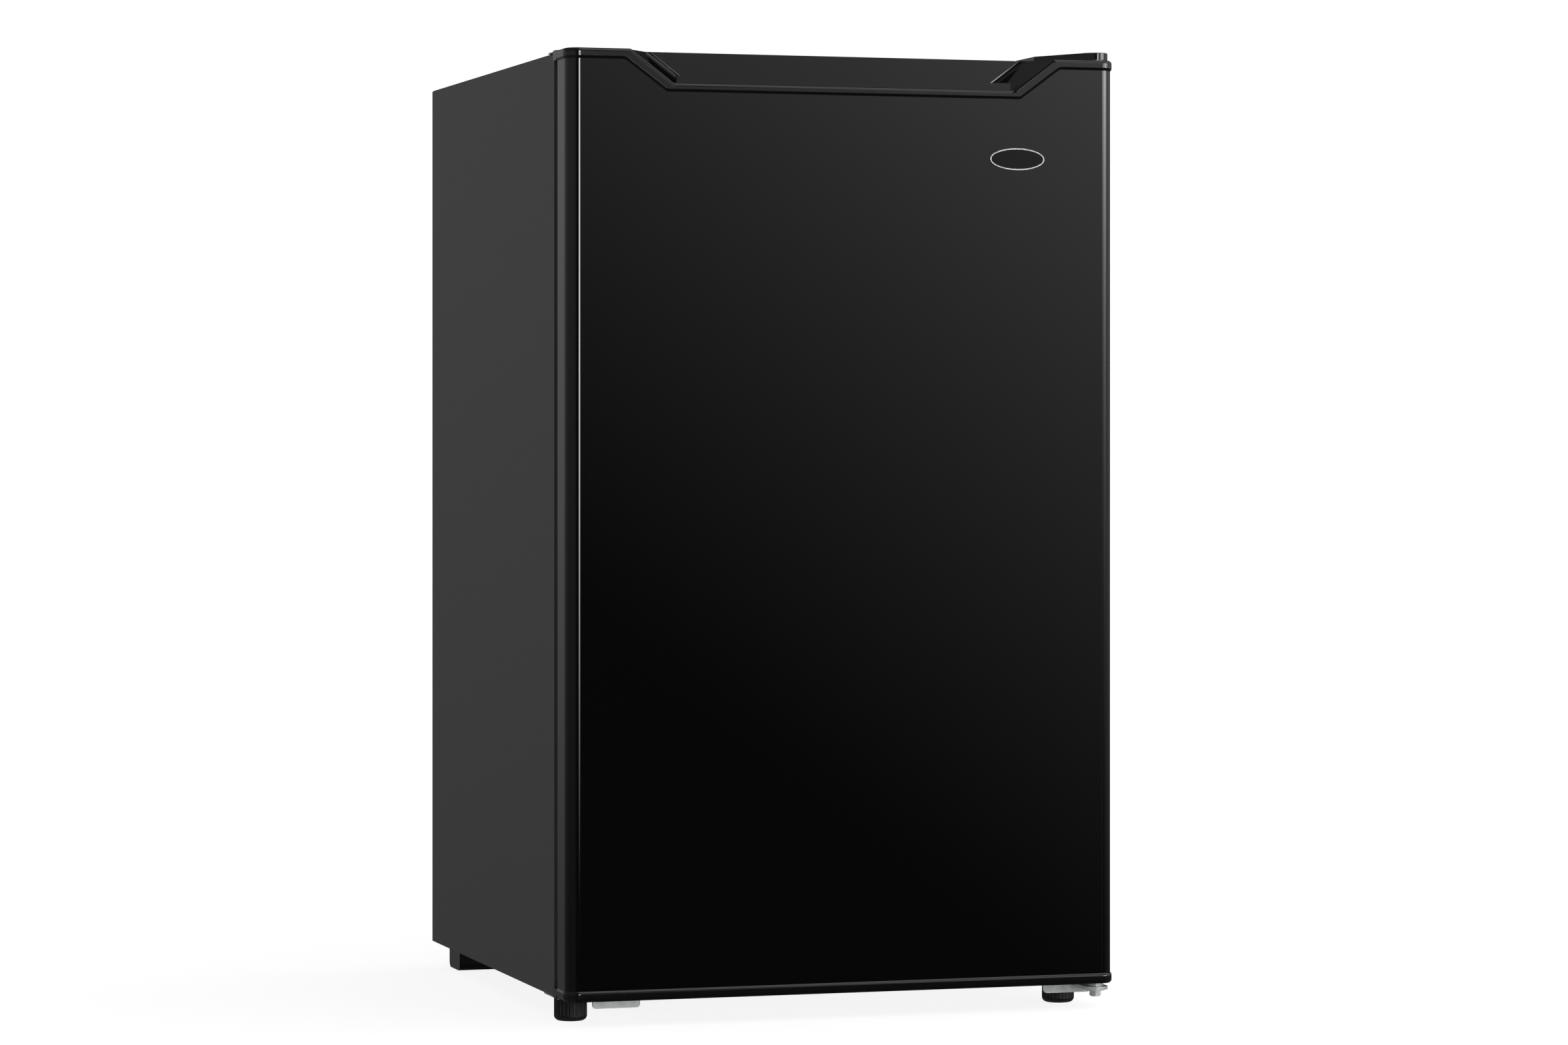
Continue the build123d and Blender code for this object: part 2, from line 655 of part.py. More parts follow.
def bottom_hinge_pin():
    """Pin that the door's foot turns on, threaded below for its nut."""
    return rod(HINGE_X, HINGE_Y, 9.4, 36, PIN_R)


def bottom_hinge_nut():
    """Hexagon nut under the tongue."""
    nut = Pos(HINGE_X, HINGE_Y, 10.2) * extrude(RegularPolygon(5.6, 6, rotation=12), 5.4)
    washer = rod(HINGE_X, HINGE_Y, 14.6, 15.6, 8)
    return (nut + washer) - rod(HINGE_X, HINGE_Y, 9, 16, PIN_R)


def hole_plugs():
    """Plastic plugs in the spare hinge holes at the left of the cabinet's top."""
    items = []
    for x, y in top_bracket_screws():
        cap = fillet(rod(-x, y, CAB_TOP, CAB_TOP + 1.4, 5).edges().sort_by(Axis.Z)[-1:], 1)
        items.append(cap + rod(-x, y, CAB_TOP - 8, CAB_TOP, 2.2))
    return items


# ---------------------------------------------------------------- levelling feet
def foot_pad(side):
    """Fluted plastic pad of a levelling foot."""
    pad = rod(FOOT_X[side], FOOT_Y, 0, FOOT_TOP, FOOT_R)
    pad = fillet(pad.edges().sort_by(Axis.Z)[:1], 4.5)
    pad = fillet(pad.edges().sort_by(Axis.Z)[-1:], 0.8)
    flutes = []
    count = 26
    for i in range(count):
        a = 2 * pi * i / count
        x = FOOT_X[side] + (FOOT_R + 0.5) * cos(a)
        y = FOOT_Y + (FOOT_R + 0.5) * sin(a)
        flutes.append(rod(x, y, 5, FOOT_TOP + 1, 1.1))
    return pad - flutes - rod(FOOT_X[side], FOOT_Y, 4, FOOT_TOP + 1, PIN_R + 0.1)


def foot_stud(side):
    """Steel stud of a levelling foot."""
    stud = rod(FOOT_X[side], FOOT_Y, 4.2, 52, PIN_R)
    return chamfer(stud.edges().sort_by(Axis.Z)[-1:], 1)


# ---------------------------------------------------------------- door
def door_skin():
    """Folded steel front with rounded upright corners, cut away behind the finger pocket."""
    z0 = DOOR_BOTTOM + 4
    z1 = DOOR_TOP - 5
    outer = slab(-HALF, HALF, 0, DOOR_DEPTH, z0, z1)
    outer = fillet(upright_edges(outer, 1), DOOR_RADIUS)
    t = SHEET
    inner = slab(-HALF + t, HALF - t, t, DOOR_DEPTH - t, z0 - 1, z1 + 1)
    inner = fillet(upright_edges(inner, 2), DOOR_RADIUS - t)
    skin = outer - inner
    skin -= slab(-HALF + 13, HALF - 13, DOOR_DEPTH - 3, DOOR_DEPTH + 1, z0 - 1, z1 + 1)
    mid_top = (NOTCH_TOP + BAND_TOP) / 2
    mid_floor = (NOTCH_FLOOR + BAND_FLOOR) / 2
    mid_z = (NOTCH_Z + BAND_Z) / 2
    lean = (mid_top - mid_floor) / (DOOR_TOP - BAND / 2 - mid_z)
    over = 8
    notch = mirrored([(mid_floor, mid_z), (mid_top + lean * over, DOOR_TOP - BAND / 2 + over)])
    return skin - front_prism(notch, -2, 5)


def cap_beam(outline):
    """An end cap's band, right round the door's front corners."""
    beam = front_prism(outline, -CAP_PROUD, DOOR_DEPTH)
    turns = [e for e in beam.edges().filter_by(Axis.Y) if abs(e.center().X) < HALF - 20]
    if turns:
        beam = fillet(turns, BAND_TURN)
    beam = fillet(upright_edges(beam, 0), DOOR_RADIUS + CAP_PROUD)
    return fillet(front_loop(beam), BAND_ROUND)


def front_loop(beam):
    """The edges round the front of a cap, past both rounded corners."""
    y_corner = DOOR_RADIUS + 0.5
    return [e for e in beam.edges() if e.center().Y < y_corner and e.bounding_box().size.Z < 60
            and not (e.bounding_box().size.X < 0.01 and e.bounding_box().size.Y < 0.01)]


def rear_lip(z0, z1, side_z):
    """Thin return of a cap that hides the seal: a strip across and a cheek at the free end."""
    x = HALF + CAP_PROUD
    strip = slab(-x, HINGE_X - 6, DOOR_DEPTH, GASKET_BACK, z0, z1)
    cheek = slab(-x, -x + 2, DOOR_DEPTH, GASKET_BACK, side_z[0], side_z[1])
    return strip + cheek


def door_top_cap(skin):
    """Moulded top of the door with the finger pocket behind its rim."""
    x = HALF + CAP_PROUD
    right = [
        (BAND_FLOOR, BAND_Z),
        (BAND_TOP, DOOR_TOP - BAND),
        (x, DOOR_TOP - BAND),
        (x, DOOR_TOP),
        (NOTCH_TOP, DOOR_TOP),
        (NOTCH_FLOOR, NOTCH_Z),
    ]
    lip = mirrored([(LIP_HALF, NOTCH_Z - 2), (LIP_HALF, LIP_Z)])
    cap = cap_beam(mirrored(right)) + front_prism(lip, LIP_FRONT, RIM + 0.5)
    cap += slab(-206, 206, RIM, DOOR_DEPTH, TRAY_FLOOR, DOOR_TOP - 0.6)
    cap -= slab(-x, x, DOOR_DEPTH - 2, DOOR_DEPTH + 1, TRAY_FLOOR - 1, DOOR_TOP - BAND)
    cap += rear_lip(DOOR_TOP - 2, DOOR_TOP, (DOOR_TOP - BAND + 1, DOOR_TOP))
    cap -= pocket_cavity()
    cap -= rod(HINGE_X, HINGE_Y, DOOR_TOP - 16, DOOR_TOP + 1, BUSH_R)
    for side in (-1, 1):
        a, b = sorted((side * 207, side * 222))
        cap -= slab(a, b, 4, 30, DOOR_TOP - 20, DOOR_TOP - 3)
    cap -= skin
    return cap


def pocket_cavity():
    """The finger pocket: ends that lean in towards the back, with rounded inner corners."""
    lean = (NOTCH_TOP - NOTCH_FLOOR) / (DOOR_TOP - NOTCH_Z)
    over = 6.0
    half = [
        (NOTCH_FLOOR - 12, POCKET_FLOOR),
        (NOTCH_FLOOR, NOTCH_Z),
        (NOTCH_TOP + lean * over, DOOR_TOP + over),
    ]
    front = mirrored(half)
    back = mirrored([(a - POCKET_TAPER, z) for a, z in half])
    sections = [
        Plane.XZ.offset(-RIM) * Polygon(*front, align=None),
        Plane.XZ.offset(-POCKET_BACK) * Polygon(*back, align=None),
    ]
    cavity = loft(sections, ruled=True)
    creases = [e for e in cavity.edges() if e.center().Y > POCKET_BACK - 0.5 and e.bounding_box().size.X < 60]
    return fillet(creases, POCKET_ROUND)


def door_bottom_cap(skin):
    """Moulded bottom of the door."""
    x = HALF + CAP_PROUD
    beam = cap_beam(mirrored([(x, DOOR_BOTTOM), (x, DOOR_BOTTOM + BAND)]))
    cap = beam + rear_lip(DOOR_BOTTOM, DOOR_BOTTOM + 2, (DOOR_BOTTOM, DOOR_BOTTOM + BAND - 1))
    boss = rod(HINGE_X, HINGE_Y, DOOR_BOTTOM, DOOR_BOTTOM + 16, 8.5)
    cap = cap + boss - rod(HINGE_X, HINGE_Y, DOOR_BOTTOM - 1, DOOR_BOTTOM + 17, BUSH_R)
    cap -= slab(-225, 222, 3, 31, DOOR_BOTTOM + 3, DOOR_BOTTOM + BAND + 1)
    return cap - skin


def hinge_bushes():
    """Plastic bearings pressed into the two end caps."""
    items = []
    for z0, z1 in ((DOOR_BOTTOM, DOOR_BOTTOM + 15), (DOOR_TOP - 16, DOOR_TOP)):
        bore = rod(HINGE_X, HINGE_Y, z0 - 1, z1 + 1, PIN_R + RUNNING)
        items.append(rod(HINGE_X, HINGE_Y, z0, z1, BUSH_R) - bore)
    return items


def dyke_core(gap):
    """The space inside the inner door's raised rim, held off its walls by a gap."""
    t = DYKE_WALL + gap
    core = slab(-DYKE_OUT + t, DYKE_OUT - t, DOOR_DEPTH - 2.1, DYKE_BACK - t, DYKE_LOW + t, DYKE_HIGH - t)
    core = fillet(core.edges().filter_by(Axis.Y), 16)
    return core - slab(-DYKE_IN - t, DYKE_IN + t, 0, DYKE_BACK, DYKE_LOW + DYKE_SILL - t, DYKE_HIGH + 30)


def door_liner():
    """White inner door: a flat sheet formed into a raised rim that the racks hang between."""
    y = DOOR_DEPTH
    panel_x = HALF - 13.5
    panel = slab(-panel_x, panel_x, y - 1.8, y, DOOR_BOTTOM + 14, DOOR_TOP - BAND - 0.2)
    rim = slab(-DYKE_OUT, DYKE_OUT, y, DYKE_BACK, DYKE_LOW, DYKE_HIGH)
    rim = fillet(rim.edges().filter_by(Axis.Y), 18)
    rim = fillet(rim.faces().sort_by(Axis.Y)[-1].edges(), 8)
    rim -= slab(-DYKE_IN, DYKE_IN, y, DYKE_BACK + 1, DYKE_LOW + DYKE_SILL, DYKE_HIGH + 30)
    return (panel + rim) - dyke_core(0)


def door_foam(solids):
    """Foam between the door skin and the inner door."""
    block = slab(-HALF + 1.3, HALF - 1.3, 1.3, DOOR_DEPTH - 2.1, DOOR_BOTTOM + 12, 818)
    block = fillet(upright_edges(block, 2), DOOR_RADIUS - 1)
    block -= slab(-209, 209, 0, DOOR_DEPTH, TRAY_FLOOR - 0.5, 830)
    block -= rod(HINGE_X, HINGE_Y, 0, DOOR_BOTTOM + 20, 9)
    block -= rod(HINGE_X, HINGE_Y, DOOR_TOP - 24, DOOR_TOP, 9)
    for solid in solids:
        block -= solid
    return block + dyke_core(0.3)


def gasket_ring(inset, width, y0, y1):
    """A rectangular ring round the door, set in from the gasket's outer edge."""
    x = GASKET_OUT - inset
    z0, z1 = GASKET_LOW + inset, GASKET_HIGH - inset
    ring = fillet(slab(-x, x, y0, y1, z0, z1).edges().filter_by(Axis.Y), 6)
    return ring - slab(-x + width, x - width, y0 - 1, y1 + 1, z0 + width, z1 - width)


def door_gasket():
    """Magnetic seal: a base strip, a narrow bellows and the magnet strip that meets the cabinet."""
    base = gasket_ring(0, GASKET_W, DOOR_DEPTH, DOOR_DEPTH + 2.5)
    bellows = gasket_ring(4, GASKET_W - 8, DOOR_DEPTH + 2.4, GASKET_BACK - 3.9)
    magnet = gasket_ring(0, GASKET_W, GASKET_BACK - 4, GASKET_BACK)
    return base + bellows + magnet


def door_rack(z0, height, depth):
    """A moulded rack that hangs between the raised sides of the inner door."""
    x = DYKE_IN - 0.4
    front_y = DOOR_DEPTH + 0.4
    wall = 2.4
    outer = slab(-x, x, front_y, front_y + depth, z0, z0 + height)
    outer = fillet([e for e in outer.edges().filter_by(Axis.Z) if e.center().Y > front_y + 1], 16)
    inner = slab(-x + wall, x - wall, front_y + wall, front_y + depth - wall, z0 + wall, z0 + height + 1)
    inner = fillet([e for e in inner.edges().filter_by(Axis.Z) if e.center().Y > front_y + wall + 1], 14)
    rack = outer - inner
    window = slab(-x + 30, x - 30, front_y + depth - 10, front_y + depth + 1, z0 + 22, z0 + height - 12)
    if height > 60:
        rack -= fillet(window.edges().filter_by(Axis.Y), 5)
    return rack


def badge_plate():
    """Blank oval plate on the door."""
    x, z = BADGE
    return Pos(x, 0, z) * Rot(90, 0, 0) * extrude(Ellipse(24.0, 8.5), 0.9)


def badge_ring():
    """Bright rim of the oval plate."""
    x, z = BADGE
    ring = extrude(Ellipse(25.0, 9.5), 1.4) - extrude(Ellipse(24.0, 8.5), 3)
    return Pos(x, 0, z) * Rot(90, 0, 0) * ring


# ---------------------------------------------------------------- assembly and export
def assemble():
    """Every node by name."""
    motor = compressor()
    skin = door_skin()
    top_cap = door_top_cap(skin)
    bottom_cap = door_bottom_cap(skin)
    liner_door = door_liner()
    screws = top_hinge_screws()
    plugs = hole_plugs()
    low_screws = bracket_screws()
    holes = screws + plugs + low_screws
    stud_wells = [rod(FOOT_X[s], FOOT_Y, 0, 58, PIN_R + 1.0) for s in (-1, 1)]
    cabinet = outer_cabinet() - screws - plugs
    foam = foam_insulation(holes + stud_wells)
    pan = base_pan() - low_screws - stud_wells
    return {
        "outer_cabinet": cabinet - low_screws - stud_wells,
        "cabinet_top_trim": cabinet_top_trim(),
        "rear_panel": rear_panel(),
        "base_pan": pan,
        "inner_liner": inner_liner(),
        "foam_insulation": foam,
        "shelf_upper": wire_shelf(SHELF_Z[0]),
        "shelf_lower": wire_shelf(SHELF_Z[1]),
        "evaporator_box": evaporator_box(),
        "evaporator_hangers": evaporator_hangers(),
        "freezer_frame": freezer_frame(),
        "freezer_flap": freezer_flap(),
        "drip_tray": drip_tray(),
        "drip_tray_rails": drip_tray_rails(),
        "thermostat_housing": thermostat_housing(),
        "thermostat_knob": thermostat_knob(),
        "thermostat_bulb": thermostat_bulb(),
        "compressor": motor,
        "compressor_rail": compressor_rail(),
        "compressor_grommets": compressor_grommets(),
        "compressor_bolts": compressor_bolts(),
        "relay_cover": relay_cover() - motor,
        "condenser_tube": condenser_tube(),
        "condenser_wires": condenser_wires(),
        "condenser_clips": condenser_clips(),
        "filter_drier": filter_drier(),
        "discharge_tube": discharge_tube() - motor,
        "suction_tube": suction_tube(),
        "capillary_tube": capillary_tube(),
        "cord_gland": cord_gland(),
        "rear_feet": rear_feet(),
        "top_hinge_bracket": top_hinge_bracket(),
        "top_hinge_pin": top_hinge_pin(),
        "top_hinge_screws": screws,
        "top_hinge_cover": top_hinge_cover(),
        "hinge_washers": hinge_washers(),
        "bottom_hinge_bracket": bottom_hinge_bracket(),
        "bottom_hinge_pin": bottom_hinge_pin(),
        "bottom_hinge_nut": bottom_hinge_nut(),
        "left_foot_bracket": left_foot_bracket(),
        "bracket_screws": low_screws,
        "hole_plugs": plugs,
        "foot_pad_left": foot_pad(-1),
        "foot_stud_left": foot_stud(-1),
        "foot_pad_right": foot_pad(1),
        "foot_stud_right": foot_stud(1),
        "door_skin": skin,
        "door_top_cap": top_cap,
        "door_bottom_cap": bottom_cap,
        "door_foam": door_foam([top_cap, bottom_cap, liner_door]),
        "door_liner": liner_door,
        "door_gasket": door_gasket(),
        "door_rack_upper": door_rack(600.0, 62.0, 78.0),
        "door_rack_middle": door_rack(380.0, 62.0, 82.0),
        "door_rack_lower": door_rack(94.0, 112.0, 86.0),
        "hinge_bushes": hinge_bushes(),
        "badge_plate": badge_plate(),
        "badge_ring": badge_ring(),
    }


def export(nodes):
    """Move every node so that the origin is on the floor under the middle, and write its STEP file."""
    os.makedirs("parts", exist_ok=True)
    shift = Pos(0, -(BACK - CAP_PROUD) / 2, 0)
    for name, shape in nodes.items():
        solids = []
        for item in shape if isinstance(shape, list) else [shape]:
            solids += item.solids()
        placed = [shift * solid for solid in solids]
        body = placed[0] if len(placed) == 1 else Compound(children=placed)
        export_step(body, f"parts/{name}.step")


export(assemble())
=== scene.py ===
"""Looks for the undercounter compact refrigerator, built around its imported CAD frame.

Metres, +Z up, door towards -Y.
"""
import json
import math

import bpy
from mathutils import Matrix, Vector


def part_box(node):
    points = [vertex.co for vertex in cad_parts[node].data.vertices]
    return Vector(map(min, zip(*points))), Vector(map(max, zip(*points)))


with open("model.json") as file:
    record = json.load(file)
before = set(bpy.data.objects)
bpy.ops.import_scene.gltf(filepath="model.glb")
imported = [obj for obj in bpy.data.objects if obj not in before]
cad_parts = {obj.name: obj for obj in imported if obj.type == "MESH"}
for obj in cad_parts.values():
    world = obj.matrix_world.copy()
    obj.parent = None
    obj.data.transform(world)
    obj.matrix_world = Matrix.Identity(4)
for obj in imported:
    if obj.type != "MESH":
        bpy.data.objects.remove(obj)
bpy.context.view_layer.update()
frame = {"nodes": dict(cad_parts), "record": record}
NODES = frame["nodes"]
SCENE = bpy.context.scene

FLOOR_SIZE = 60.0
CAMERA_X = -1.24665
CAMERA_AHEAD = 3.85136    # from the door's face
CAMERA_HEIGHT = 0.50393
CAMERA_YAW = -17.186
LENS = 107.96             # on a sensor 36 mm wide
LENS_SHIFT = -0.0568      # centres the machine in the picture while the camera stays level


# ---------------------------------------------------------------- camera
def add_camera():
    """A level camera ahead and to the left of the machine, somewhat above half its height."""
    door_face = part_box("door_skin")[0].y
    data = bpy.data.cameras.new("camera")
    data.sensor_width = 36.0
    data.lens = LENS
    data.shift_y = LENS_SHIFT
    data.clip_end = FLOOR_SIZE
    camera = bpy.data.objects.new("camera", data)
    camera.location = (CAMERA_X, door_face - CAMERA_AHEAD, CAMERA_HEIGHT)
    camera.rotation_euler = (math.radians(90.0), 0.0, math.radians(CAMERA_YAW))
    SCENE.collection.objects.link(camera)
    SCENE.camera = camera


# ---------------------------------------------------------------- node helpers
class Graph:
    """Builds a node tree by short calls; numbers and colours are set on the sockets themselves."""

    def __init__(self, tree):
        self.tree = tree
        tree.nodes.clear()

    def node(self, kind, **inputs):
        """Adds a node; an underscore in an input's name stands for a space."""
        made = self.tree.nodes.new(kind)
        for name, value in inputs.items():
            self.feed(made, name.replace("_", " "), value)
        return made

    def feed(self, target, socket, value):
        """Links a socket to an input or sets its value; the input goes by name, or by number as a string."""
        key = int(socket) if socket.isdigit() else socket
        if isinstance(value, bpy.types.NodeSocket):
            self.tree.links.new(value, target.inputs[key])
        else:
            target.inputs[key].default_value = value

    def math(self, operation, a, b=0.0):
        """One operation on sockets or numbers."""
        made = self.tree.nodes.new("ShaderNodeMath")
        made.operation = operation
        self.feed(made, "0", a)
        self.feed(made, "1", b)
        return made.outputs[0]

    def product(self, first, *others):
        """All the values multiplied together."""
        for other in others:
            first = self.math("MULTIPLY", first, other)
        return first

    def ramp(self, value, stops):
        """A colour ramp through (position, colour) stops."""
        made = self.tree.nodes.new("ShaderNodeValToRGB")
        self.feed(made, "Fac", value)
        elements = made.color_ramp.elements
        while len(elements) < len(stops):
            elements.new(0.5)
        for element, (position, colour) in zip(elements, stops):
            element.position = position
            element.color = colour
        return made.outputs["Color"]

    def map_range(self, value, low, high, to_low, to_high, smooth=False):
        """Carries one range over to another, and holds the value at its ends."""
        made = self.tree.nodes.new("ShaderNodeMapRange")
        made.interpolation_type = "SMOOTHSTEP" if smooth else "LINEAR"
        settings = {"Value": value, "From Min": low, "From Max": high, "To Min": to_low, "To Max": to_high}
        for name, number in settings.items():
            self.feed(made, name, number)
        return made.outputs["Result"]

    def limit(self, value, low, high):
        """The value, held between two bounds."""
        return self.map_range(value, low, high, low, high)

    def fade(self, value, start, end, to_low=0.0, to_high=1.0):
        """A smooth change between two levels as the value goes from start to end."""
        return self.map_range(value, start, end, to_low, to_high, smooth=True)


def rgb(r, g=None, b=None):
    """A colour from one grey or three channels."""
    return (r, r if g is None else g, r if b is None else b, 1.0)


def principled(name, colour, roughness, metallic=0.0, ior=1.46, transmission=0.0):
    """A material with one Principled shader; returns it with its graph, shader and object-space position."""
    material = bpy.data.materials.new(name)
    material.use_nodes = True
    graph = Graph(material.node_tree)
    shader = graph.node("ShaderNodeBsdfPrincipled")
    shader.inputs["Base Color"].default_value = colour
    shader.inputs["Roughness"].default_value = roughness
    shader.inputs["Metallic"].default_value = metallic
    shader.inputs["IOR"].default_value = ior
    shader.inputs["Transmission Weight"].default_value = transmission
    graph.node("ShaderNodeOutputMaterial", Surface=shader.outputs["BSDF"])
    place = graph.node("ShaderNodeTexCoord").outputs["Object"]
    return material, graph, shader, place


def noise(graph, place, scale, detail=2.0, roughness=0.5):
    """Noise of about 1/scale metres, as a value round 0.5."""
    made = graph.node("ShaderNodeTexNoise", Vector=place, Scale=scale, Detail=detail, Roughness=roughness)
    return made.outputs["Fac"]


def vary(graph, shader, socket, value, low, high):
    """Drives a socket from a 0..1 pattern between two numbers."""
    graph.feed(shader, socket, graph.map_range(value, 0.3, 0.7, low, high))


def tint(graph, shader, value, dark, light):
    """Drives the base colour from a 0..1 pattern between two colours."""
    graph.feed(shader, "Base Color", graph.ramp(value, [(0.3, dark), (0.7, light)]))


def bump(graph, shader, height, strength, distance):
    """Adds relief; calls chain, the last one on top."""
    made = graph.node("ShaderNodeBump", Height=height, Strength=strength, Distance=distance)
    socket = shader.inputs["Normal"]
    if socket.links:
        graph.feed(made, "Normal", socket.links[0].from_socket)
    graph.feed(shader, "Normal", made.outputs["Normal"])


# ---------------------------------------------------------------- materials
def door_gloss():
    """Near-black gloss paint with the faintest orange peel."""
    material, g, shader, place = principled("door_gloss", rgb(0.0003), 0.045, ior=1.5)
    vary(g, shader, "Roughness", noise(g, place, 900, 3), 0.040, 0.050)
    tint(g, shader, noise(g, place, 700, 3), rgb(0.0002), rgb(0.0004))
    bump(g, shader, noise(g, place, 420, 2), 0.006, 0.0002)
    return material


def cabinet_paint():
    """Charcoal textured paint on sheet steel."""
    material, g, shader, place = principled("cabinet_paint", rgb(0.025), 0.5, ior=1.45)
    tint(g, shader, noise(g, place, 900, 3), rgb(0.0235, 0.0235, 0.024), rgb(0.0290, 0.0290, 0.0295))
    vary(g, shader, "Roughness", noise(g, place, 700, 4), 0.46, 0.56)
    bump(g, shader, noise(g, place, 1100, 3, 0.6), 0.22, 0.0004)
    return material


def black_plastic():
    """Moulded black plastic with a fine satin grain."""
    material, g, shader, place = principled("black_plastic", rgb(0.0015), 0.09, ior=1.48)
    tint(g, shader, noise(g, place, 400, 4), rgb(0.0011), rgb(0.0019))
    vary(g, shader, "Roughness", noise(g, place, 500, 5), 0.08, 0.11)
    bump(g, shader, noise(g, place, 2600, 2, 0.7), 0.02, 0.0002)
    return material


def foot_plastic():
    """Harder black plastic of the feet, scuffed near the floor."""
    material, g, shader, place = principled("foot_plastic", rgb(0.003), 0.36)
    shader.inputs["Specular IOR Level"].default_value = 0.35
    height = g.node("ShaderNodeSeparateXYZ", Vector=place).outputs["Z"]
    scuff = g.math("MULTIPLY", noise(g, place, 900, 5, 0.7), g.map_range(height, 0.0, 0.006, 1.0, 0.0))
    g.feed(shader, "Base Color", g.ramp(scuff, [(0.25, rgb(0.003)), (0.6, rgb(0.02, 0.019, 0.018))]))
    vary(g, shader, "Roughness", noise(g, place, 150, 4), 0.36, 0.5)
    return material


def galvanised():
    """Galvanised sheet with a spangle of zinc crystals."""
    material, g, shader, place = principled("galvanised", rgb(0.5), 0.42, metallic=0.85)
    cells = g.node("ShaderNodeTexVoronoi", Vector=place, Scale=85.0)
    grain = g.node("ShaderNodeSeparateXYZ", Vector=cells.outputs["Color"]).outputs["X"]
    shade = g.math("ADD", g.math("MULTIPLY", grain, 0.5), 0.25)
    tint(g, shader, shade, rgb(0.44, 0.46, 0.48), rgb(0.60, 0.62, 0.64))
    vary(g, shader, "Roughness", grain, 0.36, 0.52)
    bump(g, shader, noise(g, place, 500, 3), 0.05, 0.0005)
    return material


def zinc():
    """Bright zinc plating on stamped steel, a little hazy."""
    material, g, shader, place = principled("zinc", rgb(0.36, 0.36, 0.37), 0.34, metallic=0.45)
    tint(g, shader, noise(g, place, 120, 4), rgb(0.31, 0.315, 0.32), rgb(0.42, 0.425, 0.43))
    streaks = g.node("ShaderNodeMapping", Vector=place, Scale=(60.0, 900.0, 900.0)).outputs["Vector"]
    vary(g, shader, "Roughness", noise(g, streaks, 1.0, 3), 0.30, 0.46)
    bump(g, shader, noise(g, streaks, 1.0, 2), 0.06, 0.0003)
    return material


def liner_plastic():
    """Gloss white vacuum-formed sheet."""
    material, g, shader, place = principled("liner_plastic", rgb(0.82, 0.83, 0.82), 0.24, ior=1.5)
    tint(g, shader, noise(g, place, 8, 4), rgb(0.81, 0.82, 0.81), rgb(0.84, 0.845, 0.84))
    vary(g, shader, "Roughness", noise(g, place, 300, 3), 0.24, 0.30)
    bump(g, shader, noise(g, place, 700, 2), 0.01, 0.0002)
    return material


def white_plastic():
    """Moulded white polystyrene."""
    material, g, shader, place = principled("white_plastic", rgb(0.80), 0.32)
    tint(g, shader, noise(g, place, 30, 3), rgb(0.78, 0.79, 0.785), rgb(0.83, 0.835, 0.83))
    vary(g, shader, "Roughness", noise(g, place, 60, 4), 0.27, 0.38)
    bump(g, shader, noise(g, place, 1800, 2), 0.05, 0.0003)
    return material


def clear_plastic():
    """Frosted translucent plastic with faint flow lines."""
    colour = rgb(0.92, 0.95, 0.96)
    material, g, shader, place = principled("clear_plastic", colour, 0.24, ior=1.49, transmission=0.75)
    tint(g, shader, noise(g, place, 20, 3), rgb(0.90, 0.935, 0.95), rgb(0.94, 0.96, 0.97))
    vary(g, shader, "Roughness", noise(g, place, 300, 3), 0.20, 0.28)
    bump(g, shader, noise(g, place, 700, 2), 0.01, 0.0002)
    return material


def foam_core():
    """Cream expanded foam."""
    material, g, shader, place = principled("foam_core", rgb(0.7, 0.6, 0.38), 0.85)
    tint(g, shader, noise(g, place, 400, 4), rgb(0.62, 0.52, 0.32), rgb(0.78, 0.69, 0.46))
    bump(g, shader, noise(g, place, 700, 4, 0.7), 0.5, 0.001)
    return material


def shelf_coat():
    """White dip coating on shelf wire."""
    material, g, shader, place = principled("shelf_coat", rgb(0.80), 0.3)
    tint(g, shader, noise(g, place, 90, 3), rgb(0.76, 0.77, 0.76), rgb(0.84))
    vary(g, shader, "Roughness", noise(g, place, 200, 3), 0.24, 0.4)
    bump(g, shader, noise(g, place, 350, 3), 0.15, 0.0006)
    return material


def evaporator_sheet():
    """Rolled aluminium with a faint grain along its length."""
    material, g, shader, place = principled("evaporator_sheet", rgb(0.75), 0.35, metallic=0.9)
    grain = g.node("ShaderNodeMapping", Vector=place, Scale=(900.0, 40.0, 900.0)).outputs["Vector"]
    tint(g, shader, noise(g, place, 25, 4), rgb(0.66, 0.67, 0.68), rgb(0.80, 0.81, 0.82))
    vary(g, shader, "Roughness", noise(g, grain, 1.0, 4), 0.28, 0.48)
    bump(g, shader, noise(g, grain, 1.0, 3), 0.06, 0.0003)
    return material


def seal_rubber():
    """Matt black rubber."""
    material, g, shader, place = principled("seal_rubber", rgb(0.02), 0.7)
    tint(g, shader, noise(g, place, 80, 4), rgb(0.016), rgb(0.026))
    vary(g, shader, "Roughness", noise(g, place, 150, 4), 0.6, 0.82)
    bump(g, shader, noise(g, place, 1500, 3), 0.15, 0.0003)
    return material


def enamel(name, grey, roughness):
    """Stoved enamel on steel, dusty on its upward faces."""
    material, g, shader, place = principled(name, rgb(grey), roughness)
    normal = g.node("ShaderNodeNewGeometry").outputs["Normal"]
    up = g.node("ShaderNodeSeparateXYZ", Vector=normal).outputs["Z"]
    dust = g.math("MULTIPLY", g.map_range(up, 0.2, 1.0, 0.0, 1.0), noise(g, place, 70, 5, 0.65))
    g.feed(shader, "Base Color", g.ramp(dust, [(0.2, rgb(grey)), (0.8, rgb(0.10, 0.095, 0.088))]))
    g.feed(shader, "Roughness", g.map_range(dust, 0.1, 0.6, roughness, 0.8))
    bump(g, shader, noise(g, place, 260, 3), 0.08, 0.0006)
    return material


